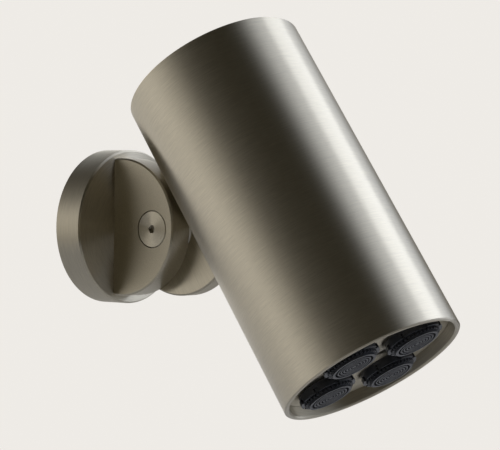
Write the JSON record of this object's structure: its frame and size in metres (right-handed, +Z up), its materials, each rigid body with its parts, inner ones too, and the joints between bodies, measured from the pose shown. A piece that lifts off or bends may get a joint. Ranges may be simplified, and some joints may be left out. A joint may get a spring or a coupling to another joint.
{
  "type": "wall-mounted shower head with a tilting tube-shaped head",
  "caption": "Tube-shaped shower head on a round wall disc: a hollow bolt through two flat tongues lets it tilt and feeds water to recessed spray nozzles.",
  "frame": {"origin": "centre of the wall disc's back face, at the mouth of the threaded inlet", "axes": "+Y into the wall, so -Y points into the room, +Z up, +X to the right of someone who faces the wall"},
  "size_m": [0.07, 0.1563, 0.1471],
  "materials": {
    "body_nickel": "brushed warm nickel, grain round the tube and straight on the flat faces",
    "steel": "plain turned",
    "brass": "plain turned",
    "rubber": "matte",
    "pale_plastic": "matte moulded",
    "nozzle_plastic": "dark slate grey, satin moulded"
  },
  "bodies": {
    "wall_side": {"wall_disc": "body_nickel", "wall_gasket": "rubber", "inlet_washer": "rubber", "inlet_sieve": "steel", "flow_limiter": "pale_plastic", "grub_screw": "steel", "pivot_bolt": "body_nickel", "pivot_seals": "rubber", "friction_washer": "pale_plastic", "disc_spring": "steel", "pivot_nut": "body_nickel"},
    "head": {"head_tongue": "body_nickel", "head_shell": "body_nickel", "top_cap": "body_nickel", "nozzle_plate": "body_nickel", "tongue_screws": "steel", "bridge_plate": "steel", "tie_rod": "steel", "tie_nuts": "steel", "feed_spigot": "brass", "feed_block": "brass", "feed_pipe": "brass", "chamber_lid": "brass", "spigot_seals": "rubber", "pipe_seals": "rubber", "rod_washer": "rubber", "chamber_seal_ring": "rubber", "nozzle_seal_1": "rubber", "nozzle_seal_2": "rubber", "nozzle_seal_3": "rubber", "nozzle_seal_4": "rubber", "jet_disc_1": "pale_plastic", "jet_disc_2": "pale_plastic", "jet_disc_3": "pale_plastic", "jet_disc_4": "pale_plastic", "nozzle_housing_1": "nozzle_plastic", "spray_face_1": "nozzle_plastic", "nozzle_housing_2": "nozzle_plastic", "spray_face_2": "nozzle_plastic", "nozzle_housing_3": "nozzle_plastic", "spray_face_3": "nozzle_plastic", "nozzle_housing_4": "nozzle_plastic", "spray_face_4": "nozzle_plastic"}
  },
  "joints": [
    {"name": "head_tilt", "type": "hinge", "parent": "wall_side", "child": "head", "pos_m": [0, -0.0314, -0.0005], "axis": [-1, 0, 0], "range_deg": [-34.6, 10.4]}
  ]
}
